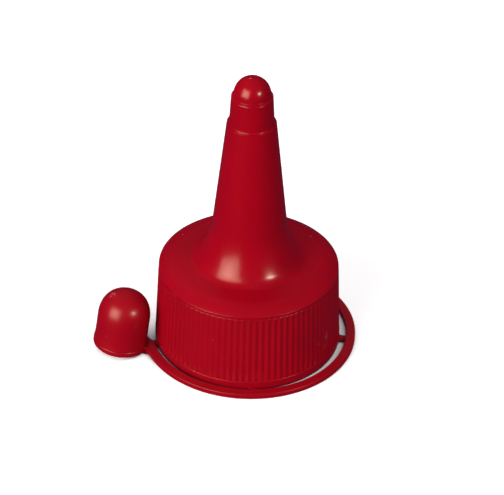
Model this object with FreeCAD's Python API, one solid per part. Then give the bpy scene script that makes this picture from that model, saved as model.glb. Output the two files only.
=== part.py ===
"""Screw-on squeeze-bottle pour spout with a captive tip cap on a tear-off strap.

Frame: millimetres, +Z up along the closure's axis, origin on that axis at the plane
that the skirt stands on. The tip cap lies towards -X, still on its strap, leaning in
towards the skirt as it rests. Each node is one functional piece of the moulding.
"""
import FreeCAD, Part

import math
import os

V = FreeCAD.Vector
ORIGIN = V(0, 0, 0)
UP = V(0, 0, 1)
SLIP = 0.01                   # hairline between a swept or stepped face and its seat

# ---- closure, outside ---------------------------------------------------------------
BASE_RADIUS = 15.5            # smooth band at the foot, and the rib tips above it
BAND_HEIGHT = 1.62
EDGE_RADIUS = 14.88           # sharp edge where the skirt turns into the shoulder
EDGE_HEIGHT = 14.37
CROWN_RADIUS = 11.8           # the shoulder turns down towards its edge from here
CROWN_HEIGHT = 15.7
SPOUT_FOOT_HEIGHT = 23.5      # the straight taper ends and the sweep on to the shoulder begins
SPOUT_FOOT_RADIUS = 6.05
SWEEP = ((16.0, 30.0), (4.0, 46.0), (1.8, 85.0))    # radius, and the normal's rise at its end
LEDGE_HEIGHT = 42.14          # ledge that stops the tip cap
LEDGE_RADIUS = 4.01
SEAT_RADIUS = 3.64            # tapered seat above the ledge, at its foot
SEAT_TOP_RADIUS = 3.37
SEAT_TOP_HEIGHT = 47.03
DOME_RADIUS = 3.0             # closed dome that is snipped off before first use
DOME_CENTRE_HEIGHT = 47.44
DOME_SHOULDER = 0.12          # rounded edge between the seat and the dome
DOME_SHOULDER_SHARE = 0.6     # how far up to the dome's centre that edge lies
GATE_RADIUS = 0.28            # stub where the moulding gate broke off
GATE_LENGTH = 0.22
GATE_TILT = 6                 # degrees off the dome's top
GATE_SINK = 0.02              # how far the stub starts inside the dome

# ---- grip ---------------------------------------------------------------------------
RIB_COUNT = 92
RIB_DEPTH = 0.2
RIB_TIP_SHARE = 0.34          # share of the pitch that a rib's tip takes
RIB_ROOT_SHARE = 0.26
RIB_RING_THICKNESS = 0.3
RIB_TOP_HEIGHT = 13.75

# ---- closure, inside ----------------------------------------------------------------
WALL = 1.3
NECK_RADIUS = 13.8            # wall that the bottle's neck thread runs in
LEAD_IN_RADIUS = 14.05        # wider, thread-free mouth
LEAD_IN_HEIGHT = 2.0
PANEL_HEIGHT = 13.0           # underside that the neck's rim seats on
THREAD_PITCH = 4.233          # six turns to the inch
THREAD_TURNS = 1.3
THREAD_START_HEIGHT = 4.0
THREAD_CREST_RADIUS = 13.05
THREAD_ROOT_WIDTH = 2.0
THREAD_CREST_WIDTH = 0.8
PLUG_OUTER_RADIUS = 10.9      # plug seal that enters the neck
PLUG_INNER_RADIUS = 10.0
PLUG_DEPTH = 2.3
PLUG_CHAMFER = 0.5            # narrowing at the foot, so that it finds the neck
PLUG_CHAMFER_HEIGHT = 0.9
PLUG_ROOT_RELIEF = 0.2        # slimmer root, so that the ring can flex
SPOUT_BORE_TOP_RADIUS = 2.7   # at the ledge
TIP_BORE_RADIUS = 1.9
TIP_BORE_TOP_HEIGHT = 48.4

# ---- strap --------------------------------------------------------------------------
STRAP_OFFSET = 0.28           # the torn strap sits this far off the axis, towards +X
STRAP_OUTER_RADIUS = 17.9
STRAP_INNER_RADIUS = 16.4
STRAP_THICKNESS = 0.89
ANCHOR_ANGLE = 63.5           # permanent root; the other bridges step round from it
BRIDGE_STEP = 80.0
CAP_ANGLE = 180.0
ANCHOR_STUB = 6.0             # degrees of strap that belong to the fixed root
NECK_SPAN = 12.0              # degrees of strap that belong to the tip cap
LINK_COUNT = 8
LINK_GAP = 2.8                # degrees between two lengths
END_GAP = 5.0                 # degrees at the root and at the cap, where the strap bends most
BRIDGE_WIDTH = 1.3
BRIDGE_HEIGHT = 0.5
BRIDGE_BREAK = 0.06           # torn gap at the strap's end of each thin bridge
ANCHOR_WIDTH = 2.0

# ---- tip cap ------------------------------------------------------------------------
CAP_DISTANCE = 21.62          # from the closure's axis to the cap's foot
CAP_LEAN = 7.47               # degrees, top towards the skirt
CAP_HEIGHT = 10.02
CAP_RADIUS = 4.36
CAP_RIM_RADIUS = 4.525
CAP_RIM_HEIGHT = 0.925
CAP_RIM_STEP = 0.02           # the body stands this far inside the rim
CAP_FLARE = 0.04              # bulge of the body's foot, two thirds of the way down it
CAP_FLARE_SHARE = 0.65
CAP_FLARE_HEIGHT = 2.5        # the body's foot flares out below this
CAP_DOME_CORNER = 4.09
CAP_CROWN_RADIUS = 5.5
CAP_BORE_RADIUS = 3.76        # runs free over the seat
CAP_WALL_TOP = 0.75
SNAP_RADIUS = 3.7             # bead that the seat's taper squeezes past
SNAP_HEIGHT = 1.5
SNAP_FOOT = 0.3               # half the bead's width at its foot and at its crest
SNAP_CREST = 0.1
NECK_WEB = 0.9                # web from the strap's end round the cap's rim
NECK_WEB_LENGTH = 3.4


def polar(radius, degrees, z=0.0, centre=ORIGIN):
    """Point at a radius and angle about a vertical axis through centre."""
    a = math.radians(degrees)
    return centre + V(radius * math.cos(a), radius * math.sin(a), z)


def save(shape, node):
    """Check one piece and write it as its own node."""
    if not shape.isValid():
        raise ValueError(node + " is not a valid shape")
    shape.exportStep("parts/" + node + ".step")
    print(node, "solids", len(shape.Solids), "volume", round(shape.Volume, 3))


def meridian(steps):
    """Closed half section in the XZ plane.

    steps is a list of (r, z) corners; a step of four numbers (rm, zm, r, z) is an arc
    that passes through (rm, zm) on its way to (r, z).
    """
    edges = []
    start = V(steps[0][0], 0, steps[0][1])
    first = start
    for step in steps[1:]:
        end = V(step[-2], 0, step[-1])
        if len(step) == 4:
            edges.append(Part.Arc(start, V(step[0], 0, step[1]), end).toShape())
        else:
            edges.append(Part.LineSegment(start, end).toShape())
        start = end
    edges.append(Part.LineSegment(start, first).toShape())
    return Part.Face(Part.Wire(edges))


def turned(steps, degrees=360):
    """Solid of revolution about Z from a half section."""
    return meridian(steps).revolve(ORIGIN, UP, degrees)


def skirt_radius(z):
    """Outside radius of the drafted skirt at a height."""
    slope = (BASE_RADIUS - EDGE_RADIUS) / (EDGE_HEIGHT - BAND_HEIGHT)
    return BASE_RADIUS - slope * (z - BAND_HEIGHT)


def sweep_steps(offset):
    """Tangent arcs from the spout's foot out on to the shoulder, moved into the wall by offset."""
    rise = math.degrees(math.atan2(SPOUT_FOOT_RADIUS - LEDGE_RADIUS,
                                   LEDGE_HEIGHT - SPOUT_FOOT_HEIGHT))
    here = V(SPOUT_FOOT_RADIUS, SPOUT_FOOT_HEIGHT, 0) - polar(offset, rise)
    steps = [(here.x, here.y)]
    for radius, end in SWEEP:
        reach = radius + offset
        centre = here + polar(reach, rise)
        middle = centre - polar(reach, (rise + end) / 2)
        here = centre - polar(reach, end)
        steps.append((middle.x, middle.y, here.x, here.y))
        rise = end
    return steps


def crown_step():
    """Arc that leaves the shoulder's top without a kink and falls to the skirt's edge."""
    start = V(CROWN_RADIUS, CROWN_HEIGHT, 0)
    chord = V(EDGE_RADIUS, EDGE_HEIGHT, 0) - start
    upright = SWEEP[-1][1]
    half = upright - 90 - math.degrees(math.atan2(chord.y, chord.x))
    radius = chord.Length / (2 * math.sin(math.radians(half)))
    middle = start - polar(radius, upright) + polar(radius, upright - half)
    return middle.x, middle.y, EDGE_RADIUS, EDGE_HEIGHT


# ---- closure ------------------------------------------------------------------------
def core_radius(z):
    """Outside radius of the plain skirt wall under the ribbed ring."""
    return skirt_radius(z) - RIB_DEPTH - RIB_RING_THICKNESS


def base_band():
    """Smooth band that the closure stands on, with the thread-free mouth inside it."""
    return turned([(LEAD_IN_RADIUS, 0), (BASE_RADIUS, 0), (BASE_RADIUS, BAND_HEIGHT),
                   (LEAD_IN_RADIUS, BAND_HEIGHT)])


def skirt_shell():
    """Plain wall of the skirt, from the band up to the panel's underside."""
    return turned([(LEAD_IN_RADIUS, BAND_HEIGHT), (core_radius(BAND_HEIGHT), BAND_HEIGHT),
                   (core_radius(PANEL_HEIGHT), PANEL_HEIGHT), (NECK_RADIUS, PANEL_HEIGHT),
                   (NECK_RADIUS, LEAD_IN_HEIGHT + LEAD_IN_RADIUS - NECK_RADIUS),
                   (LEAD_IN_RADIUS, LEAD_IN_HEIGHT)])


def rib_wire(z):
    """Section of the ribbed ring's outside at a height: one ridge per pitch."""
    tip = skirt_radius(z)
    root = tip - RIB_DEPTH
    pitch = 360.0 / RIB_COUNT
    corners = []
    for i in range(RIB_COUNT):
        middle = i * pitch
        corners.append(polar(root, middle - pitch * (1 - RIB_ROOT_SHARE) / 2, z))
        corners.append(polar(tip, middle - pitch * RIB_TIP_SHARE / 2, z))
        corners.append(polar(tip, middle + pitch * RIB_TIP_SHARE / 2, z))
        corners.append(polar(root, middle + pitch * (1 - RIB_ROOT_SHARE) / 2, z))
    corners.append(corners[0])
    return Part.makePolygon(corners)


def grip_ribs():
    """Ring of vertical grip ribs on the outside of the skirt."""
    outside = Part.makeLoft([rib_wire(BAND_HEIGHT), rib_wire(RIB_TOP_HEIGHT)], True, True)
    margin = 1.0
    low = BAND_HEIGHT - margin
    high = RIB_TOP_HEIGHT + margin
    inside = turned([(0, low), (core_radius(low), low), (core_radius(high), high), (0, high)])
    return outside.cut(inside)


def shoulder_panel():
    """Top panel: shoulder outside, seating land and funnel inside."""
    body = turned([(0, SPOUT_FOOT_HEIGHT)] + sweep_steps(0)
                  + [(CROWN_RADIUS, CROWN_HEIGHT), crown_step(),
                     (skirt_radius(RIB_TOP_HEIGHT), RIB_TOP_HEIGHT),
                     (core_radius(RIB_TOP_HEIGHT), RIB_TOP_HEIGHT),
                     (core_radius(PANEL_HEIGHT), PANEL_HEIGHT), (0, PANEL_HEIGHT)])
    funnel = turned([(0, SPOUT_FOOT_HEIGHT), (SPOUT_FOOT_RADIUS - WALL, SPOUT_FOOT_HEIGHT)]
                    + sweep_steps(WALL)
                    + [(CROWN_RADIUS, CROWN_HEIGHT - WALL), (CROWN_RADIUS, PANEL_HEIGHT),
                       (0, PANEL_HEIGHT)])
    mouth = Part.makeCylinder(PLUG_INNER_RADIUS, SPOUT_FOOT_HEIGHT)
    return body.cut(funnel.common(mouth))


def thread_ridge():
    """Single-start helical ridge that engages the bottle's neck thread."""
    helix = Part.makeHelix(THREAD_PITCH, THREAD_PITCH * THREAD_TURNS, NECK_RADIUS)
    root = NECK_RADIUS - SLIP
    half_root = THREAD_ROOT_WIDTH / 2
    half_crest = THREAD_CREST_WIDTH / 2
    corners = [V(root, 0, -half_root), V(root, 0, half_root),
               V(THREAD_CREST_RADIUS, 0, half_crest), V(THREAD_CREST_RADIUS, 0, -half_crest)]
    section = Part.makePolygon(corners + corners[:1])
    ridge = Part.Wire(helix).makePipeShell([section], True, True)
    ridge.translate(V(0, 0, THREAD_START_HEIGHT))
    return ridge


def plug_seal():
    """Tapered ring that enters the bottle's neck and seals on its bore."""
    foot = PANEL_HEIGHT - PLUG_DEPTH
    return turned([(PLUG_INNER_RADIUS, PANEL_HEIGHT), (PLUG_INNER_RADIUS, foot),
                   (PLUG_OUTER_RADIUS - PLUG_CHAMFER, foot),
                   (PLUG_OUTER_RADIUS, foot + PLUG_CHAMFER_HEIGHT),
                   (PLUG_OUTER_RADIUS - PLUG_ROOT_RELIEF, PANEL_HEIGHT)])


def spout_tube():
    """Tapered spout from the top of the sweep up to the ledge."""
    return turned([(SPOUT_FOOT_RADIUS - WALL, SPOUT_FOOT_HEIGHT),
                   (SPOUT_FOOT_RADIUS, SPOUT_FOOT_HEIGHT), (LEDGE_RADIUS, LEDGE_HEIGHT),
                   (SPOUT_BORE_TOP_RADIUS, LEDGE_HEIGHT)])


def tip_seat():
    """Tapered seat above the ledge that the tip cap presses on to."""
    return turned([(TIP_BORE_RADIUS, LEDGE_HEIGHT), (SEAT_RADIUS, LEDGE_HEIGHT),
                   (SEAT_TOP_RADIUS, SEAT_TOP_HEIGHT), (TIP_BORE_RADIUS, SEAT_TOP_HEIGHT)])


def snip_dome():
    """Closed end of the spout, cut off by the user to open it."""
    rise = DOME_CENTRE_HEIGHT - SEAT_TOP_HEIGHT
    half = DOME_RADIUS * math.sqrt(0.5)
    return turned([
        (TIP_BORE_RADIUS, SEAT_TOP_HEIGHT), (SEAT_TOP_RADIUS, SEAT_TOP_HEIGHT),
        (SEAT_TOP_RADIUS - DOME_SHOULDER, SEAT_TOP_HEIGHT + rise * DOME_SHOULDER_SHARE),
        (DOME_RADIUS, DOME_CENTRE_HEIGHT),
        (half, DOME_CENTRE_HEIGHT + half, 0, DOME_CENTRE_HEIGHT + DOME_RADIUS),
        (0, TIP_BORE_TOP_HEIGHT), (TIP_BORE_RADIUS, TIP_BORE_TOP_HEIGHT)])


def gate_vestige():
    """Stub left where the moulding gate broke off, just beside the dome's top."""
    stub = Part.makeCylinder(GATE_RADIUS, GATE_LENGTH, V(0, 0, DOME_RADIUS - GATE_SINK))
    stub.rotate(ORIGIN, V(0, 1, 0), -GATE_TILT)
    stub.translate(V(0, 0, DOME_CENTRE_HEIGHT))
    ball = Part.makeSphere(DOME_RADIUS, V(0, 0, DOME_CENTRE_HEIGHT))
    return stub.cut(ball)


# ---- strap --------------------------------------------------------------------------
def strap_centre():
    return V(STRAP_OFFSET, 0, 0)


def strap_piece(from_angle, to_angle):
    """Length of the flat strap between two angles, counted anticlockwise."""
    ring = meridian([(STRAP_INNER_RADIUS, 0), (STRAP_OUTER_RADIUS, 0),
                     (STRAP_OUTER_RADIUS, STRAP_THICKNESS),
                     (STRAP_INNER_RADIUS, STRAP_THICKNESS)])
    piece = ring.revolve(ORIGIN, UP, to_angle - from_angle)
    piece.rotate(ORIGIN, UP, from_angle)
    piece.translate(strap_centre())
    return piece


def radial_bar(angle, width, height, reach):
    """Bar from the band outwards to a radius about the closure's axis."""
    bar = Part.makeBox(reach, width, height, V(0, -width / 2, 0))
    bar.rotate(ORIGIN, UP, angle)
    return bar


def strap_anchor():
    """Permanent root of the strap: a thick tab from the band and the strap's fixed end."""
    stub = strap_piece(ANCHOR_ANGLE - ANCHOR_STUB + END_GAP / 2, ANCHOR_ANGLE + ANCHOR_STUB)
    reach = (STRAP_INNER_RADIUS + STRAP_OUTER_RADIUS) / 2
    tab = radial_bar(ANCHOR_ANGLE, ANCHOR_WIDTH, STRAP_THICKNESS, reach)
    return stub.fuse(tab).cut(Part.makeCylinder(BASE_RADIUS, BAND_HEIGHT)).removeSplitter()


def bridge_nibs():
    """Thin bridges that held the strap to the band and are torn at the strap."""
    inner = Part.makeCylinder(BASE_RADIUS, BAND_HEIGHT)
    edge = Part.makeCylinder(STRAP_INNER_RADIUS - BRIDGE_BREAK, BAND_HEIGHT, strap_centre())
    nibs = []
    for i in range(1, 4):
        angle = ANCHOR_ANGLE - i * BRIDGE_STEP
        bar = radial_bar(angle, BRIDGE_WIDTH, BRIDGE_HEIGHT, STRAP_INNER_RADIUS + 1)
        nibs.append(bar.common(edge).cut(inner))
    return Part.makeCompound([solid for nib in nibs for solid in nib.Solids])


def link_spans():
    """Start and end angle of each length of strap, from the root round to the cap."""
    start = ANCHOR_ANGLE - ANCHOR_STUB
    end = CAP_ANGLE - 360 + NECK_SPAN
    pitch = (start - end) / LINK_COUNT
    gaps = [END_GAP / 2] + [LINK_GAP / 2] * (LINK_COUNT - 1) + [END_GAP / 2]
    return [(start - (i + 1) * pitch + gaps[i + 1], start - i * pitch - gaps[i])
            for i in range(LINK_COUNT)]


# ---- tip cap ------------------------------------------------------------------------
def lean_on(shape):
    """Move a cap piece from its own axis to where the cap rests, leaning inwards."""
    shape.rotate(ORIGIN, V(0, 1, 0), CAP_LEAN)
    lift = CAP_RIM_RADIUS * math.sin(math.radians(CAP_LEAN))
    shape.translate(polar(CAP_DISTANCE, CAP_ANGLE, lift))
    return shape


def cap_outline(inset, height):
    """Bullet half section above the rim, moved in by inset and topped at height."""
    corner = CAP_DOME_CORNER - inset
    crown = CAP_CROWN_RADIUS - inset
    radius = CAP_RADIUS - inset
    corner_r = radius - corner
    crown_z = height - crown
    corner_z = crown_z + math.sqrt((crown - corner) ** 2 - corner_r ** 2)
    join_r = corner_r * crown / (crown - corner)
    join_z = crown_z + (corner_z - crown_z) * crown / (crown - corner)
    middle = math.atan2(join_z - corner_z, join_r - corner_r) / 2
    crown_middle = (math.atan2(join_z - crown_z, join_r) + math.pi / 2) / 2
    return [(radius, corner_z),
            (corner_r + corner * math.cos(middle), corner_z + corner * math.sin(middle),
             join_r, join_z),
            (crown * math.cos(crown_middle), crown_z + crown * math.sin(crown_middle),
             0, height)]


def cap_bore(height):
    """Cavity of the tip cap, from below its mouth up to a height."""
    inset = CAP_RADIUS - CAP_BORE_RADIUS
    return turned([(0, -1), (CAP_BORE_RADIUS, -1)] + cap_outline(inset, height))


def cap_shell():
    """Bullet-shaped body of the tip cap."""
    outside = turned([(0, CAP_RIM_HEIGHT), (CAP_RIM_RADIUS - CAP_RIM_STEP, CAP_RIM_HEIGHT),
                      (CAP_RADIUS + CAP_FLARE, CAP_FLARE_HEIGHT * CAP_FLARE_SHARE,
                       CAP_RADIUS, CAP_FLARE_HEIGHT)]
                     + cap_outline(0, CAP_HEIGHT))
    return lean_on(outside.cut(cap_bore(CAP_HEIGHT - CAP_WALL_TOP)))


def cap_rim():
    """Rim at the cap's mouth that lands on the ledge."""
    return lean_on(turned([(CAP_BORE_RADIUS, 0), (CAP_RIM_RADIUS, 0),
                           (CAP_RIM_RADIUS, CAP_RIM_HEIGHT),
                           (CAP_BORE_RADIUS, CAP_RIM_HEIGHT)]))


def cap_snap_bead():
    """Low bead inside the cap's mouth that grips the seat."""
    root = CAP_BORE_RADIUS - SLIP
    return lean_on(turned([(root, SNAP_HEIGHT - SNAP_FOOT), (root, SNAP_HEIGHT + SNAP_FOOT),
                           (SNAP_RADIUS, SNAP_HEIGHT + SNAP_CREST),
                           (SNAP_RADIUS, SNAP_HEIGHT - SNAP_CREST)]))


def strap_neck():
    """Strap's end, spread out where it runs into the cap's rim."""
    strip = strap_piece(CAP_ANGLE, CAP_ANGLE + NECK_SPAN - END_GAP / 2)
    width = STRAP_OUTER_RADIUS - STRAP_INNER_RADIUS
    web = Part.makeCylinder(CAP_RIM_RADIUS + NECK_WEB, STRAP_THICKNESS,
                            polar(CAP_DISTANCE, CAP_ANGLE))
    corner = polar(STRAP_OUTER_RADIUS + width, CAP_ANGLE) - V(0, NECK_WEB_LENGTH, 0)
    reach = Part.makeBox(3 * width, NECK_WEB_LENGTH, STRAP_THICKNESS, corner)
    body = strip.fuse(web.common(reach)).removeSplitter()
    room = lean_on(Part.makeCylinder(CAP_RIM_RADIUS, CAP_HEIGHT + 4, V(0, 0, -2)))
    return max(body.cut(room).Solids, key=lambda solid: solid.Volume)


def main():
    os.makedirs("parts", exist_ok=True)
    pieces = {
        "base_band": base_band(),
        "skirt_shell": skirt_shell(),
        "grip_ribs": grip_ribs(),
        "shoulder_panel": shoulder_panel(),
        "thread_ridge": thread_ridge(),
        "plug_seal": plug_seal(),
        "spout_tube": spout_tube(),
        "tip_seat": tip_seat(),
        "snip_dome": snip_dome(),
        "gate_vestige": gate_vestige(),
        "strap_anchor": strap_anchor(),
        "bridge_nibs": bridge_nibs(),
        "cap_shell": cap_shell(),
        "cap_rim": cap_rim(),
        "cap_snap_bead": cap_snap_bead(),
        "strap_neck": strap_neck(),
    }
    for number, (low, high) in enumerate(link_spans(), start=1):
        pieces["strap_link_" + str(number)] = strap_piece(low, high)
    for node, shape in pieces.items():
        save(shape, node)


main()
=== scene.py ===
"""Screw-on pour spout with a captive tip cap: the visual model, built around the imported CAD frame.

Lengths are written in millimetres in the model's frame and turned into metres when a mesh
is made. +Z runs up the spout, the closure's axis is x = y = 0, and the tip cap lies at -X.
The floor, the lamps and the camera are placed in metres.
"""
import math

import bmesh
import bpy
from mathutils import Matrix, Vector


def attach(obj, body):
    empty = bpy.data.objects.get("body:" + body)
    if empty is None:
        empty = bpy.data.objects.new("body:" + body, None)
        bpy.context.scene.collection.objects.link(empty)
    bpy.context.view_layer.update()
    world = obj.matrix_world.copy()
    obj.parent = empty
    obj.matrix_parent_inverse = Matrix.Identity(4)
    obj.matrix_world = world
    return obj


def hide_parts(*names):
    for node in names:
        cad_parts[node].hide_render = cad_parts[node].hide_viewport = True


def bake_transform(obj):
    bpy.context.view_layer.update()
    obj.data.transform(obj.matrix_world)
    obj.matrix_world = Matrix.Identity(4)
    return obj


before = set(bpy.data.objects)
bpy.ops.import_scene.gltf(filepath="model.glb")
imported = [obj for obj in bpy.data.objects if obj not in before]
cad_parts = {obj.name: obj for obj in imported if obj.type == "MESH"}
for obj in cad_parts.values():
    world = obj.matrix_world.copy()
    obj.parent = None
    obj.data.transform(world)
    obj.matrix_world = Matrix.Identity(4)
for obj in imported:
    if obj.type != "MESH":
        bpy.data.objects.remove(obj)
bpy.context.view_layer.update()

MM = 0.001

# ---- sizes, as in the CAD model (mm) --------------------------------------------------
BASE_RADIUS = 15.5
BAND_HEIGHT = 1.62
LEAD_IN_RADIUS = 14.05
LEAD_IN_HEIGHT = 2.0
NECK_RADIUS = 13.8
PANEL_HEIGHT = 13.0
SKIRT_SLOPE = 0.0435            # how far the skirt leans in for each mm of height
WALL_FOOT_RADIUS = 14.9         # plain wall behind the ribs, at the band
WALL_TOP_RADIUS = 14.35         # the same wall, under the shoulder
RIB_COUNT = 92
RIB_DEPTH = 0.15
RIB_BACKING = 0.35              # solid ring behind the ribs
EDGE = (14.88, 14.37)           # edge between the skirt and the shoulder
LAND_FOOT = 13.82               # smooth land under the edge starts here
SPOUT_FOOT = (6.05, 23.5)       # the straight taper ends and the sweep into the shoulder begins
SWEEP = ((16.0, 30.0), (4.0, 46.0), (1.8, 85.0))    # radius, and the normal's rise at its end
CROWN = (11.8, 15.7)            # the shoulder turns down towards its edge from here
WALL = 1.3                      # thickness of the sweep and of the spout's foot
PLUG_BORE = 10.0                # radius where the panel opens into the spout
THREAD_PITCH = 4.233            # six threads to the inch
THREAD_CREST = 13.05            # radius
LEDGE = (4.01, 42.14)
LEDGE_BORE = 2.7
TIP_BORE = 1.9
SEAT_RADIUS = 3.64
SEAT_TOP = (3.37, 47.03)
SEAT_JOIN = SEAT_TOP[1] - 0.02  # the seat's wall ends here and the dome's begins
DOME_RADIUS = 3.0
DOME_CENTRE = 47.44
DOME_CEILING = 48.4
STRAP_X = 0.28                  # the strap's ring is centred this far towards +X
STRAP_OUTER = 17.9
STRAP_INNER = 16.4
STRAP_THICKNESS = 0.89
STRAP_START = 69.3              # degrees; the strap runs clockwise from here
STRAP_END = -176.5
ANCHOR_ANGLE = 63.5
FIRST_HINGE = 57.5              # the hinges step round clockwise from here
LAST_HINGE = -168.0
LINK_COUNT = 8
BRIDGE_COUNT = 3
BRIDGE_STEP = 80.0              # degrees from the anchor to the first bridge, and between them
CAP_FOOT = (-21.62, 0.0)
CAP_LEAN = 7.47
CAP_RADIUS = 4.356
CAP_FLARE = 0.116               # the straight side grows by this much down to the rim
CAP_FLARE_TOP = 2.5             # height where that growth starts
CAP_RIM = 4.525
CAP_RIM_HEIGHT = 0.925
CAP_BORE = 3.76
CAP_WALL = 0.6
CAP_SHOULDER = 5.16             # the straight side ends here and the bullet begins
CAP_DOME_HEIGHT = 4.856
CAP_DOME_POWER = 2.4            # between a circle's 2 and a square's infinity


# ---- profiles -------------------------------------------------------------------------
def rounded(corners, steps=5, closed=True):
    """Profile through (r, z, radius) corners, each rounded, with a guard point beside each arc."""
    points = []
    count = len(corners)
    for i, (r, z, radius) in enumerate(corners):
        here = Vector((r, z))
        if radius <= 0 or (not closed and i in (0, count - 1)):
            points.append((r, z))
            continue
        back = Vector(corners[i - 1][:2]) - here
        ahead = Vector(corners[(i + 1) % count][:2]) - here
        room_back, room_ahead = back.length, ahead.length
        back.normalize()
        ahead.normalize()
        half = back.angle(ahead) / 2
        cut = radius / math.tan(half)
        centre = here + (back + ahead).normalized() * (radius / math.sin(half))
        start = here + back * cut - centre
        turn = start.angle_signed(here + ahead * cut - centre)
        guard = 0.8 * radius
        if room_back > 4 * (cut + guard):
            points.append(tuple(here + back * (cut + guard)))
        for k in range(steps + 1):
            arm = Matrix.Rotation(-turn * k / steps, 2) @ start
            points.append(tuple(centre + arm))
        if room_ahead > 4 * (cut + guard):
            points.append(tuple(here + ahead * (cut + guard)))
    return points


def arc(centre, radius, start, end, steps):
    """Points of an arc between two angles in degrees, both ends included."""
    out = []
    for k in range(steps + 1):
        a = math.radians(start + (end - start) * k / steps)
        out.append((centre[0] + radius * math.cos(a), centre[1] + radius * math.sin(a)))
    return out


def polar(radius, degrees):
    a = math.radians(degrees)
    return (radius * math.cos(a), radius * math.sin(a))


def heading(centre, point):
    return math.degrees(math.atan2(point[1] - centre[1], point[0] - centre[0]))


def smooth(t):
    t = min(1.0, max(0.0, t))
    return t * t * (3 - 2 * t)


# ---- meshes ---------------------------------------------------------------------------
def piece(name, verts, faces, sharp_deg=None):
    """Closed mesh object from millimetre points, with its normals outwards."""
    mesh = bpy.data.meshes.new(name)
    mesh.from_pydata([(x * MM, y * MM, z * MM) for x, y, z in verts], [], faces)
    bm = bmesh.new()
    bm.from_mesh(mesh)
    bmesh.ops.remove_doubles(bm, verts=bm.verts, dist=1e-7)
    bmesh.ops.recalc_face_normals(bm, faces=bm.faces)
    for face in bm.faces:
        face.smooth = True
    if sharp_deg:
        limit = math.radians(sharp_deg)
        for edge in bm.edges:
            if len(edge.link_faces) == 2 and edge.calc_face_angle(0) > limit:
                edge.smooth = False
    bm.to_mesh(mesh)
    bm.free()
    obj = bpy.data.objects.new(name, mesh)
    bpy.context.collection.objects.link(obj)
    return obj


def grid_faces(columns, rows, wrap_columns=True, wrap_rows=True):
    faces = []
    for j in range(columns if wrap_columns else columns - 1):
        for k in range(rows if wrap_rows else rows - 1):
            a, b = j * rows, (j + 1) % columns * rows
            faces.append((a + k, b + k, b + (k + 1) % rows, a + (k + 1) % rows))
    return faces


def lathe(name, profile, segments=224, place=None):
    """Solid of revolution from a closed (r, z) profile."""
    verts = []
    for j in range(segments):
        a = 2 * math.pi * j / segments
        verts += [(r * math.cos(a), r * math.sin(a), z) for r, z in profile]
    if place:
        verts = [tuple(place @ Vector(v)) for v in verts]
    return piece(name, verts, grid_faces(segments, len(profile)))


def ring_point(radius, degrees):
    """Point of the strap's ring, seen from above."""
    a = math.radians(degrees)
    return (STRAP_X + radius * math.cos(a), radius * math.sin(a))


def ribbon(name, stations, low, high, radius):
    """Flat strip through (outer, inner) pairs of edge points, with rounded long edges."""
    verts = []
    for outer, inner in stations:
        o, i = Vector(outer), Vector(inner)
        width = (i - o).length
        across = (i - o) / width
        section = rounded([(0, low, radius), (width, low, radius),
                           (width, high, radius), (0, high, radius * 1.25)], 4)
        for u, z in section:
            p = o + across * u
            verts.append((p.x, p.y, z))
    rows = len(section)
    faces = grid_faces(len(stations), rows, wrap_columns=False)
    faces.append(tuple(range(rows)))
    faces.append(tuple(range((len(stations) - 1) * rows, len(stations) * rows)))
    return piece(name, verts, faces, sharp_deg=50)


def curve_through(points, steps):
    """Smooth closed outline through points: a Catmull-Rom spline."""
    out = []
    count = len(points)
    for i in range(count):
        p0, p1, p2, p3 = (Vector(points[(i + k - 1) % count]) for k in range(4))
        for s in range(steps):
            t = s / steps
            q = 0.5 * ((2 * p1) + (p2 - p0) * t + (2 * p0 - 5 * p1 + 4 * p2 - p3) * t * t
                       + (3 * p1 - p0 - 3 * p2 + p3) * t ** 3)
            out.append(q)
    return out


def slab(name, outline, low, high, radius, steps=4, lowest=None):
    """Plate of any outline (anticlockwise, seen from above) with rounded edges.

    Where lowest is given, nothing of the plate at x is lower than lowest(x).
    """
    count = len(outline)
    normals = []
    for i in range(count):
        along = (outline[(i + 1) % count] - outline[i - 1]).normalized()
        normals.append(Vector((along.y, -along.x)))
    levels = [(2.2 * radius, low)]
    for k in range(steps + 1):
        a = math.pi / 2 * k / steps
        levels.append((radius * (1 - math.sin(a)), low + radius * (1 - math.cos(a))))
    for k in range(steps + 1):
        a = math.pi / 2 * k / steps
        levels.append((radius * (1 - math.cos(a)), high - radius * (1 - math.sin(a))))
    levels.append((2.2 * radius, high))
    verts = []
    for i in range(count):
        for inset, z in levels:
            p = outline[i] - normals[i] * inset
            verts.append((p.x, p.y, max(z, lowest(p.x)) if lowest else z))
    rows = len(levels)
    faces = grid_faces(count, rows, wrap_rows=False)
    faces.append(tuple(i * rows for i in range(count)))
    faces.append(tuple(i * rows + rows - 1 for i in range(count)))
    return piece(name, verts, faces)


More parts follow.
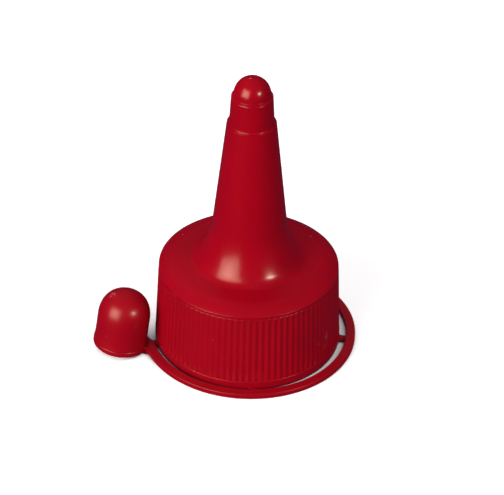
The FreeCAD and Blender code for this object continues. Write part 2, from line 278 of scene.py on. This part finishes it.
# ---- materials ------------------------------------------------------------------------
class Graph:
    """Short hand for a node material's graph."""

    def __init__(self, name):
        self.material = bpy.data.materials.new(name)
        self.material.use_nodes = True
        self.tree = self.material.node_tree
        self.shader = self.tree.nodes["Principled BSDF"]

    def add(self, kind, inputs=None, **settings):
        node = self.tree.nodes.new(kind)
        for key, value in settings.items():
            setattr(node, key, value)
        for key, value in (inputs or {}).items():
            if isinstance(value, bpy.types.NodeSocket):
                self.tree.links.new(value, node.inputs[key])
            else:
                node.inputs[key].default_value = value
        return node

    def math(self, operation, a, b, c=0.0):
        return self.add("ShaderNodeMath", {0: a, 1: b, 2: c}, operation=operation).outputs[0]

    def distance(self, a, b):
        return self.add("ShaderNodeVectorMath", {0: a, 1: b},
                        operation="DISTANCE").outputs["Value"]

    def noise(self, where, scale, detail, rough=0.5):
        return self.add("ShaderNodeTexNoise",
                        {"Vector": where, "Scale": scale, "Detail": detail,
                         "Roughness": rough}).outputs["Fac"]

    def ramp(self, fac, low, high):
        return self.add("ShaderNodeMapRange", {"Value": fac, "From Min": low,
                                               "From Max": high}).outputs["Result"]

    def mix(self, fac, a, b):
        a, b = (v if isinstance(v, bpy.types.NodeSocket) else (*v, 1.0) for v in (a, b))
        return self.add("ShaderNodeMix", {0: fac, 6: a, 7: b}, data_type="RGBA").outputs[2]


RED = (0.36, 0.0004, 0.0095)
DEEP_RED = (0.33, 0.0003, 0.0085)
DUST = (0.80, 0.34, 0.36)


def red_plastic(name, roughness, scuffs=(), specks=0.35, grain=1.0):
    """Moulded satin-gloss polyethylene, with a fine skin, dust specks and local scuffs.

    A scuff is its centre and radius in millimetres, and how worn it is.
    """
    g = Graph(name)
    where = g.add("ShaderNodeTexCoord").outputs["Object"]
    flow = g.noise(where, 160.0, 3.0)
    skin = g.noise(where, 2400.0, 2.0, 0.6)
    mottle = g.noise(where, 700.0, 4.0, 0.65)
    colour = g.mix(g.ramp(flow, 0.3, 0.7), DEEP_RED, RED)

    cell = g.add("ShaderNodeTexVoronoi", {"Vector": where, "Scale": 620.0,
                                          "Randomness": 1.0}, feature="F1")
    rare = g.math("GREATER_THAN",
                  g.add("ShaderNodeSeparateColor", {0: cell.outputs["Color"]}).outputs[0], 0.93)
    dot = g.math("LESS_THAN", cell.outputs["Distance"], 0.055)
    worn = g.math("MULTIPLY", g.math("MULTIPLY", rare, dot), specks)
    for centre, radius, amount in scuffs:
        apart = g.distance(where, tuple(c * MM for c in centre))
        near = g.ramp(apart, radius * MM, 0.25 * radius * MM)
        scratch = g.ramp(g.noise(where, 3200.0, 3.0, 0.7), 0.52, 0.66)
        worn = g.math("MAXIMUM", worn,
                      g.math("MULTIPLY", g.math("MULTIPLY", near, scratch), amount))
    colour = g.mix(worn, colour, DUST)
    rough = g.math("MULTIPLY_ADD", mottle, 0.10, roughness - 0.05)
    rough = g.math("MULTIPLY_ADD", worn, 0.25, rough)

    height = g.math("MULTIPLY_ADD", mottle, 0.5, skin)
    bump = g.add("ShaderNodeBump", {"Height": height, "Strength": 0.10 * grain,
                                    "Distance": 0.00004})
    sockets = g.shader.inputs
    g.tree.links.new(colour, sockets["Base Color"])
    g.tree.links.new(rough, sockets["Roughness"])
    g.tree.links.new(bump.outputs["Normal"], sockets["Normal"])
    sockets["IOR"].default_value = 1.52
    sockets["Specular Tint"].default_value = (1.0, 0.71, 0.58, 1.0)
    sockets["Subsurface Weight"].default_value = 0.12
    sockets["Subsurface Radius"].default_value = (1.0, 0.08, 0.05)
    sockets["Subsurface Scale"].default_value = 0.0006
    return g.material


SKIRT_RED = red_plastic("skirt_red", 0.30,
                        scuffs=[((11.6, -10.2, 5.6), 0.9, 0.35), ((11.2, -10.6, 3.9), 0.7, 0.3)])
SPOUT_RED = red_plastic("spout_red", 0.22)
CAP_RED = red_plastic("cap_red", 0.30, specks=0.2, grain=0.6,
                      scuffs=[((-22.6, 0.3, 9.9), 0.9, 0.9), ((-22.2, -0.3, 10.0), 0.5, 0.9)])
STRAP_RED = red_plastic("strap_red", 0.30, specks=0.5)


def finish(obj, material, slot, body, *nodes):
    """Give a piece its look and its CAD body, and hide the CAD nodes that it stands for."""
    obj.data.materials.append(material)
    if body:
        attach(obj, body)
    if nodes:
        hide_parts(*nodes)
    return obj


def closure(obj, material, *nodes):
    return finish(obj, material, "closure_red", "closure", *nodes)


# ---- closure --------------------------------------------------------------------------
closure(lathe("foot_band", rounded([
    (LEAD_IN_RADIUS, 0, 0.2), (BASE_RADIUS, 0, 0.22), (BASE_RADIUS, BAND_HEIGHT, 0.09),
    (LEAD_IN_RADIUS, BAND_HEIGHT, 0)])), SKIRT_RED, "base_band")


def skirt_radius(z):
    return BASE_RADIUS - SKIRT_SLOPE * (z - BAND_HEIGHT)


def rib_ring():
    """Ring of grip ribs: soft waves that run out under the shoulder's land."""
    samples = 14
    core = RIB_DEPTH + RIB_BACKING
    sunk = 1.5                      # the ribs start inside the band
    foot = BAND_HEIGHT + 0.12
    top = LAND_FOOT - 0.45
    end = LAND_FOOT + 0.08          # and end inside the land
    # Radius, height, and how deep the valleys are there, as a share of RIB_DEPTH.
    rows = [(skirt_radius(sunk) - 0.10, sunk, 0.8),
            (skirt_radius(BAND_HEIGHT - 0.02) - 0.05, BAND_HEIGHT - 0.02, 1.0)]
    for k in range(6):
        z = foot + (top - foot) * k / 5
        rows.append((skirt_radius(z) - 0.04, z, 1.0))
    for k in range(1, 7):
        z = top + (LAND_FOOT - top) * k / 6
        rows.append((skirt_radius(z) - 0.04 - 0.03 * k / 6, z, 1.0 - 0.75 * smooth(k / 6)))
    rows += [(EDGE[0] - 0.12, end, 0.1), (skirt_radius(top) - core, end, 0.0),
             (skirt_radius(sunk) - core, sunk, 0.0)]
    columns = RIB_COUNT * samples
    verts = []
    for j in range(columns):
        a = 2 * math.pi * j / columns
        away = abs((j % samples) / samples - 0.5) * 2
        valley = RIB_DEPTH * smooth(away)
        for r, z, share in rows:
            reach = r - share * valley
            verts.append((reach * math.cos(a), reach * math.sin(a), z))
    return piece("rib_ring", verts, grid_faces(columns, len(rows)))


closure(rib_ring(), SKIRT_RED, "grip_ribs")

closure(lathe("skirt_wall", rounded([
    (LEAD_IN_RADIUS, BAND_HEIGHT - 0.2, 0), (WALL_FOOT_RADIUS, BAND_HEIGHT - 0.2, 0),
    (WALL_TOP_RADIUS, PANEL_HEIGHT, 0), (NECK_RADIUS, PANEL_HEIGHT, 0),
    (NECK_RADIUS, LEAD_IN_HEIGHT + 0.25, 0.1), (LEAD_IN_RADIUS, LEAD_IN_HEIGHT, 0.1)])),
    SKIRT_RED, "skirt_shell")


def sweep_arcs(offset):
    """Arcs from the spout's foot out to the shoulder, moved into the wall by offset."""
    rise = math.degrees(math.atan2(SPOUT_FOOT[0] - LEDGE[0], LEDGE[1] - SPOUT_FOOT[1]))
    here = Vector(SPOUT_FOOT) - offset * Vector(polar(1, rise))
    points = []
    for radius, end in SWEEP:
        reach = radius + offset
        centre = here + reach * Vector(polar(1, rise))
        steps = max(6, int(abs(end - rise) * reach / 14))
        points += arc(centre, reach, rise + 180, end + 180, steps)[1:]
        here = Vector(points[-1])
        rise = end
    return points


def nozzle_profile():
    """Half section of the shoulder and the spout: one skin, as it is moulded."""
    chord = Vector(EDGE) - Vector(CROWN)
    top_rise = SWEEP[-1][1] - 90
    slope = Vector(polar(1, top_rise))
    half = abs(slope.angle(chord))
    crown_radius = chord.length / 2 / math.sin(half)
    crown_centre = Vector(CROWN) - crown_radius * Vector(polar(1, top_rise + 90))
    crown = arc(crown_centre, crown_radius, heading(crown_centre, EDGE),
                heading(crown_centre, CROWN), 14)
    land = rounded([(WALL_TOP_RADIUS, LAND_FOOT, 0), (EDGE[0] - 0.02, LAND_FOOT, 0.03),
                    (*EDGE, 0.09), (*crown[1], 0)], closed=False)
    cone = []
    for k in range(1, 16):
        t = k / 16
        cone.append((SPOUT_FOOT[0] + (LEDGE[0] - SPOUT_FOOT[0]) * t,
                     SPOUT_FOOT[1] + (LEDGE[1] - SPOUT_FOOT[1]) * t))
    ledge = rounded([(*cone[-1], 0), (*LEDGE, 0.05), (LEDGE_BORE, LEDGE[1], 0)], closed=False)
    sweep = sweep_arcs(0.0)[::-1]
    funnel = [(SPOUT_FOOT[0] - WALL, SPOUT_FOOT[1])]
    funnel += [p for p in sweep_arcs(WALL) if p[0] < PLUG_BORE]
    panel = [(PLUG_BORE, funnel[-1][1]), (PLUG_BORE, PANEL_HEIGHT),
             (WALL_TOP_RADIUS, PANEL_HEIGHT)]
    return (land[:-1] + crown[1:] + sweep + [SPOUT_FOOT] + cone[:-1] + ledge + funnel
            + panel)


closure(lathe("nozzle_shell", nozzle_profile(), 288), SPOUT_RED,
        "shoulder_panel", "spout_tube")

closure(lathe("tip_seat_wall", [
    (TIP_BORE, LEDGE[1] - 0.2), (SEAT_RADIUS + 0.16, LEDGE[1] - 0.2),
    (SEAT_RADIUS + 0.12, LEDGE[1] + 0.015), (SEAT_RADIUS + 0.04, LEDGE[1] + 0.05),
    (SEAT_RADIUS - 0.005, LEDGE[1] + 0.14), (SEAT_RADIUS - 0.03, LEDGE[1] + 0.6),
    (SEAT_RADIUS - 0.09, LEDGE[1] + 1.66), (SEAT_RADIUS - 0.18, LEDGE[1] + 3.26),
    (SEAT_TOP[0] + 0.012, SEAT_TOP[1] - 0.22), (SEAT_TOP[0], SEAT_JOIN),
    (TIP_BORE, SEAT_JOIN)], 160), SPOUT_RED, "tip_seat")


def dome_profile():
    """Ledge with a crisp edge at the seat's top, a small fillet, and the dome."""
    foot = rounded([(SEAT_TOP[0], SEAT_JOIN, 0),
                    (SEAT_TOP[0] + 0.005, SEAT_TOP[1] + 0.08, 0.05),
                    (DOME_RADIUS + 0.01, SEAT_TOP[1] + 0.17, 0.10),
                    (DOME_RADIUS, DOME_CENTRE + 0.16, 0)], closed=False)
    dome = arc((0, DOME_CENTRE), DOME_RADIUS, 6, 90, 26)
    inside = [(0, DOME_CEILING), (TIP_BORE, DOME_CEILING), (TIP_BORE, SEAT_JOIN)]
    return foot[:-1] + dome + inside


closure(lathe("tip_dome", dome_profile(), 160), SPOUT_RED, "snip_dome")


def gate_stub():
    """Little ragged stump where the moulding gate broke off, beside the dome's top."""
    lean = Matrix.Rotation(math.radians(-6), 4, "Y")
    lift = Matrix.Translation((0, 0, DOME_CENTRE))
    profile = rounded([(0, DOME_RADIUS - 0.2, 0), (0.42, DOME_RADIUS - 0.2, 0),
                       (0.27, DOME_RADIUS + 0.04, 0.05), (0.22, DOME_RADIUS + 0.15, 0.05),
                       (0.10, DOME_RADIUS + 0.10, 0.03), (0, DOME_RADIUS + 0.12, 0)])
    return lathe("gate_stub", profile, 40, lift @ lean)


closure(gate_stub(), SPOUT_RED, "gate_vestige")


def neck_thread():
    """Single-start ridge inside the skirt, faded out at both ends."""
    turns = 1.3
    start = 4.0
    sink = 0.1                      # the ridge's root lies this deep in the skirt's wall
    root = NECK_RADIUS + sink
    steps = 180
    verts = []
    for j in range(steps + 1):
        t = j / steps
        a = 2 * math.pi * turns * t
        z = start + THREAD_PITCH * turns * t
        rise = smooth(t * 9) * smooth((1 - t) * 9)
        tip = root - sink - (NECK_RADIUS - THREAD_CREST) * rise
        section = [(root, -1.05), (NECK_RADIUS, -0.98), (tip + 0.12 * rise, -0.5),
                   (tip, -0.34), (tip, 0.34), (tip + 0.12 * rise, 0.5),
                   (NECK_RADIUS, 0.98), (root, 1.05)]
        for r, dz in section:
            verts.append((r * math.cos(a), r * math.sin(a), z + dz))
    rows = len(section)
    faces = grid_faces(steps + 1, rows, wrap_columns=False)
    faces.append(tuple(range(rows)))
    faces.append(tuple(range(steps * rows, (steps + 1) * rows)))
    return piece("neck_thread", verts, faces, sharp_deg=60)


closure(neck_thread(), SKIRT_RED, "thread_ridge")

closure(lathe("sealing_plug", rounded([
    (PLUG_BORE, PANEL_HEIGHT + 0.1, 0), (PLUG_BORE, PANEL_HEIGHT - 2.3, 0.15),
    (PLUG_BORE + 0.4, PANEL_HEIGHT - 2.3, 0.15), (PLUG_BORE + 0.9, PANEL_HEIGHT - 1.4, 0.4),
    (PLUG_BORE + 0.7, PANEL_HEIGHT + 0.1, 0)])), SKIRT_RED, "plug_seal")


# ---- strap ----------------------------------------------------------------------------
PITCH = (FIRST_HINGE - LAST_HINGE) / LINK_COUNT
EDGE_ROUND = 0.10


def hinge_angle(i):
    return FIRST_HINGE - i * PITCH


def strap_pieces():
    """The strap: one length of ribbon across each hinge, from mid link to mid link.

    The spans before and after each hinge are worked out, nearly the whole length and shorter beside
    the anchor and beside the cap, but not used: nothing here bends a length.
    """
    for i in range(LINK_COUNT + 1):
        hinge = hinge_angle(i)
        first = hinge + PITCH / 2
        last = hinge - PITCH / 2
        before = PITCH / 2 - 0.3
        after = before
        if i == 0:
            first = STRAP_START
            before, after = 3.4, 3.4
        if i == LINK_COUNT:
            last = STRAP_END
            before, after = 7.0, 4.0
        count = max(12, int((first - last) / 0.75))
        stations = []
        for k in range(count + 1):
            a = first + (last - first) * k / count
            stations.append((ring_point(STRAP_OUTER, a), ring_point(STRAP_INNER, a)))
        obj = ribbon("strap_length_" + str(i), stations, 0.0, STRAP_THICKNESS, EDGE_ROUND)
        nodes = ["strap_link_" + str(i)] if i else []
        finish(obj, STRAP_RED, "strap_red", None, *nodes)
        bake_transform(obj)


strap_pieces()


def bridge(name, angle, width, reach, height, flare):
    """Short bar from inside the band out to the strap, flared where it leaves the band."""
    half = width / 2
    root = BASE_RADIUS - 0.3
    neck = BASE_RADIUS + flare
    corners = [(root, -half - flare, 0), (BASE_RADIUS, -half - flare, 0.02),
               (neck, -half, 0.25), (reach, -half, 0.14), (reach, half, 0.14),
               (neck, half, 0.25), (BASE_RADIUS, half + flare, 0.02),
               (root, half + flare, 0)]
    turn = Matrix.Rotation(math.radians(angle), 2)
    outline = [turn @ Vector(p) for p in rounded(corners, 4)]
    return slab(name, outline, 0.0, height, 0.07, 3)


closure(bridge("strap_root", ANCHOR_ANGLE, 2.0, STRAP_INNER + 0.5, STRAP_THICKNESS - 0.01, 0.3),
        STRAP_RED, "strap_anchor")


def strap_inner_reach(angle):
    """Distance from the closure's axis to the strap's inner edge along an angle."""
    a = math.radians(angle)
    shift = STRAP_X * math.cos(a)
    return shift + math.sqrt(STRAP_INNER ** 2 - (STRAP_X * math.sin(a)) ** 2)


for number in range(1, BRIDGE_COUNT + 1):
    angle = ANCHOR_ANGLE - BRIDGE_STEP * number
    stub = bridge("torn_bridge_" + str(number), angle, 1.25,
                  strap_inner_reach(angle) - 0.07, 0.5, 0.25)
    nodes = ["bridge_nibs"] if number == 1 else []
    closure(stub, STRAP_RED, *nodes)


# ---- tip cap --------------------------------------------------------------------------
LEAN = (Matrix.Translation((CAP_FOOT[0], CAP_FOOT[1],
                            CAP_RIM * math.sin(math.radians(CAP_LEAN))))
        @ Matrix.Rotation(math.radians(CAP_LEAN), 4, "Y"))


def cap_dome(inset, steps):
    """Bullet outline above the straight part, from its side up to its top."""
    power = 2 / CAP_DOME_POWER
    out = []
    for k in range(steps):
        t = math.pi / 2 * k / steps
        out.append(((CAP_RADIUS - inset) * math.cos(t) ** power,
                    CAP_SHOULDER + (CAP_DOME_HEIGHT - inset) * math.sin(t) ** power))
    out.append((0.0, CAP_SHOULDER + CAP_DOME_HEIGHT - inset))
    return out


def cap_profile():
    """Half section of the cap above its rim: flared foot, straight side, dome and bore."""
    low = CAP_RIM_HEIGHT + 0.005
    flare = []
    for k in range(8):
        share = 1 - k / 7
        z = low + (CAP_FLARE_TOP - low) * k / 7
        flare.append((CAP_RADIUS + 0.008 + CAP_FLARE * share * share, z))
    foot = [(CAP_BORE, 0.7), (CAP_RIM - 0.14, 0.7), (CAP_RIM - 0.12, 0.88)]
    side = [(CAP_RADIUS + 0.002, 3.2), (CAP_RADIUS + 0.001, 4.4)]
    ceiling = (0, CAP_SHOULDER + CAP_DOME_HEIGHT - CAP_WALL - 0.116)
    bore = cap_dome(CAP_WALL, 16)[-2::-1]
    return foot + flare + side + cap_dome(0, 32) + [ceiling] + bore + [(CAP_BORE, 4.0)]


def tip_cap(obj, material, slot, *nodes):
    return finish(obj, material, slot, "tip_cap", *nodes)


tip_cap(lathe("cap_body", cap_profile(), 176, LEAN), CAP_RED, "tip_cap_red", "cap_shell")
tip_cap(lathe("cap_lip", rounded([
    (CAP_BORE, 0, 0.1), (CAP_RIM, 0, 0.1), (CAP_RIM, CAP_RIM_HEIGHT + 0.03, 0.20),
    (CAP_BORE, CAP_RIM_HEIGHT, 0)]), 176, LEAN), CAP_RED, "tip_cap_red", "cap_rim")
tip_cap(lathe("cap_grip_bead", rounded([
    (CAP_BORE + 0.05, 1.15, 0), (CAP_BORE + 0.05, 1.85, 0), (CAP_BORE, 1.8, 0),
    (3.70, 1.5, 0.1), (CAP_BORE, 1.2, 0)]), 128, LEAN), CAP_RED, "tip_cap_red",
    "cap_snap_bead")


def neck_outline():
    """Web between the strap's end and the cap's lip, seen from above, anticlockwise."""
    inner_edge = [ring_point(STRAP_INNER + 0.2, -164), ring_point(STRAP_INNER + 0.06, -166),
                  ring_point(STRAP_INNER + 0.02, -168), ring_point(STRAP_INNER, -171),
                  ring_point(STRAP_INNER, -174), ring_point(STRAP_INNER, STRAP_END),
                  (-16.14, -0.76), (-16.36, -0.58), (-16.62, -0.27), (-16.80, 0.2),
                  (-16.95, 0.75), (-17.25, 1.2)]
    lip = []
    for angle in (16, 4, -8, -20, -32, -43):
        x, y = polar(CAP_RIM - 0.385, angle)
        lip.append((CAP_FOOT[0] + 0.04 + x, y))
    notch = [(-18.52, -3.03), (-18.2, -2.80), (-17.87, -2.72), (-17.63, -2.93), (-17.48, -3.25)]
    outer_edge = [ring_point(STRAP_OUTER - 0.01, -168), ring_point(STRAP_OUTER - 0.04, -166.5),
                  ring_point(STRAP_OUTER - 0.2, -164)]
    return curve_through(inner_edge + lip + notch + outer_edge, 5)


def rim_plane(x):
    """Height just above the plane of the leaning cap's foot, which lands on the ledge."""
    lean = math.radians(CAP_LEAN)
    return CAP_RIM * math.sin(lean) - (x - CAP_FOOT[0]) * math.tan(lean) + 0.02


tip_cap(slab("strap_web", neck_outline(), 0.005, STRAP_THICKNESS - 0.01, 0.12,
             lowest=rim_plane), STRAP_RED, "strap_red", "strap_neck")


# ---- floor, light and camera ----------------------------------------------------------
def direction(azimuth, elevation):
    a, e = math.radians(azimuth), math.radians(elevation)
    return Vector((math.cos(e) * math.cos(a), math.cos(e) * math.sin(a), math.sin(e)))


def lamp(name, azimuth, elevation, distance, width, height, power, shape="RECTANGLE",
         colour=(1, 1, 1)):
    """Area lamp that faces the middle of the spout; sizes and distance in metres."""
    data = bpy.data.lights.new(name, "AREA")
    data.shape = shape
    data.size = width
    data.size_y = height
    data.energy = power
    data.color = colour
    obj = bpy.data.objects.new(name, data)
    bpy.context.collection.objects.link(obj)
    away = direction(azimuth, elevation) * distance
    obj.location = Vector((0, 0, 0.025)) + away
    obj.rotation_euler = away.to_track_quat("Z", "Y").to_euler()
    return obj


lamp("left_softbox", -146, 22, 1.0, 0.80, 0.80, 10.2, colour=(1.0, 0.95, 0.90))
lamp("left_bulb", -146, 20, 0.95, 0.40, 0.40, 1.3, "DISK", colour=(1.0, 0.92, 0.84))
lamp("right_dish", -52, 24, 1.0, 0.26, 0.18, 3.5, "ELLIPSE")
back_fill = lamp("back_fill", 100, 42, 1.2, 1.00, 1.00, 4.5)
back_fill.visible_glossy = False


def studio_world():
    """Dim fill, stronger from above; nearly black in reflections and pale to the camera."""
    made = bpy.data.worlds.new("studio")
    made.use_nodes = True
    tree = made.node_tree
    fill = tree.nodes["Background"]
    fill.inputs["Color"].default_value = (1.0, 0.95, 0.95, 1)
    sky = tree.nodes.new("ShaderNodeTexCoord")
    height = tree.nodes.new("ShaderNodeSeparateXYZ")
    rise = tree.nodes.new("ShaderNodeMapRange")
    rise.inputs["To Min"].default_value = 0.11
    rise.inputs["To Max"].default_value = 0.44
    tree.links.new(sky.outputs["Generated"], height.inputs[0])
    tree.links.new(height.outputs["Z"], rise.inputs["Value"])
    tree.links.new(rise.outputs[0], fill.inputs["Strength"])
    seen = {"Is Glossy Ray": (0.018, 0.018, 0.045, 1), "Is Camera Ray": (0.95, 0.95, 0.96, 1)}
    path = tree.nodes.new("ShaderNodeLightPath")
    shade = fill.outputs[0]
    for ray, colour in seen.items():
        other = tree.nodes.new("ShaderNodeBackground")
        other.inputs["Color"].default_value = colour
        mix = tree.nodes.new("ShaderNodeMixShader")
        tree.links.new(path.outputs[ray], mix.inputs[0])
        tree.links.new(shade, mix.inputs[1])
        tree.links.new(other.outputs[0], mix.inputs[2])
        shade = mix.outputs[0]
    tree.links.new(shade, tree.nodes["World Output"].inputs["Surface"])
    bpy.context.scene.world = made


studio_world()


def floor():
    """Plain pale floor, wide enough to fill every view, with painted shade only in narrow gaps,
    where its colour goes dark navy and its glow goes out.
    """
    reach = 3.0
    cells = 12
    verts = [(-reach + 2 * reach * i / cells, -reach + 2 * reach * j / cells, 0)
             for i in range(cells + 1) for j in range(cells + 1)]
    mesh = bpy.data.meshes.new("floor")
    mesh.from_pydata(verts, [], grid_faces(cells + 1, cells + 1, False, False))
    obj = bpy.data.objects.new("floor", mesh)
    bpy.context.collection.objects.link(obj)
    g = Graph("pale_floor")
    where = g.add("ShaderNodeTexCoord").outputs["Object"]
    pale = g.mix(g.noise(where, 30.0, 3.0), (0.96, 0.965, 0.98), (0.98, 0.98, 0.99))
    # painted shade: ambient occlusion finds where the floor is shut in by the parts
    gap_occlusion = g.add("ShaderNodeAmbientOcclusion", {"Distance": 0.005}, samples=8)
    unshaded_share = g.ramp(gap_occlusion.outputs["AO"], 0.28, 0.54)
    sockets = g.shader.inputs
    # painted shadow: dark navy colour and no glow where the floor is shut in
    g.tree.links.new(g.mix(unshaded_share, (0.02, 0.02, 0.05), pale), sockets["Base Color"])
    g.tree.links.new(g.mix(unshaded_share, (0.0, 0.0, 0.0), (1.0, 1.0, 1.0)), sockets["Emission Color"])
    sockets["Roughness"].default_value = 0.7
    sockets["Emission Strength"].default_value = 0.40
    mesh.materials.append(g.material)
    obj.visible_diffuse = False
    obj.visible_glossy = False


floor()


def camera(azimuth, elevation, roll, distance, aim, lens):
    """Camera that looks at a point near the spout, turned by roll about its line of sight."""
    data = bpy.data.cameras.new("camera")
    data.lens = lens
    data.sensor_width = 36
    data.clip_start = 0.01
    obj = bpy.data.objects.new("camera", data)
    bpy.context.collection.objects.link(obj)
    away = direction(azimuth, elevation)
    level = away.to_track_quat("Z", "Y").to_matrix().to_4x4()
    place = Matrix.Translation(Vector(aim) + away * distance)
    obj.matrix_world = place @ level @ Matrix.Rotation(math.radians(roll), 4, "Z")
    bpy.context.scene.camera = obj


camera(-100.99, 35.843, 1.264, 0.39698, (0, -0.002486, 0.019362), 173.57)

bpy.context.scene.view_settings.view_transform = "Standard"
bpy.context.scene.view_settings.look = "None"
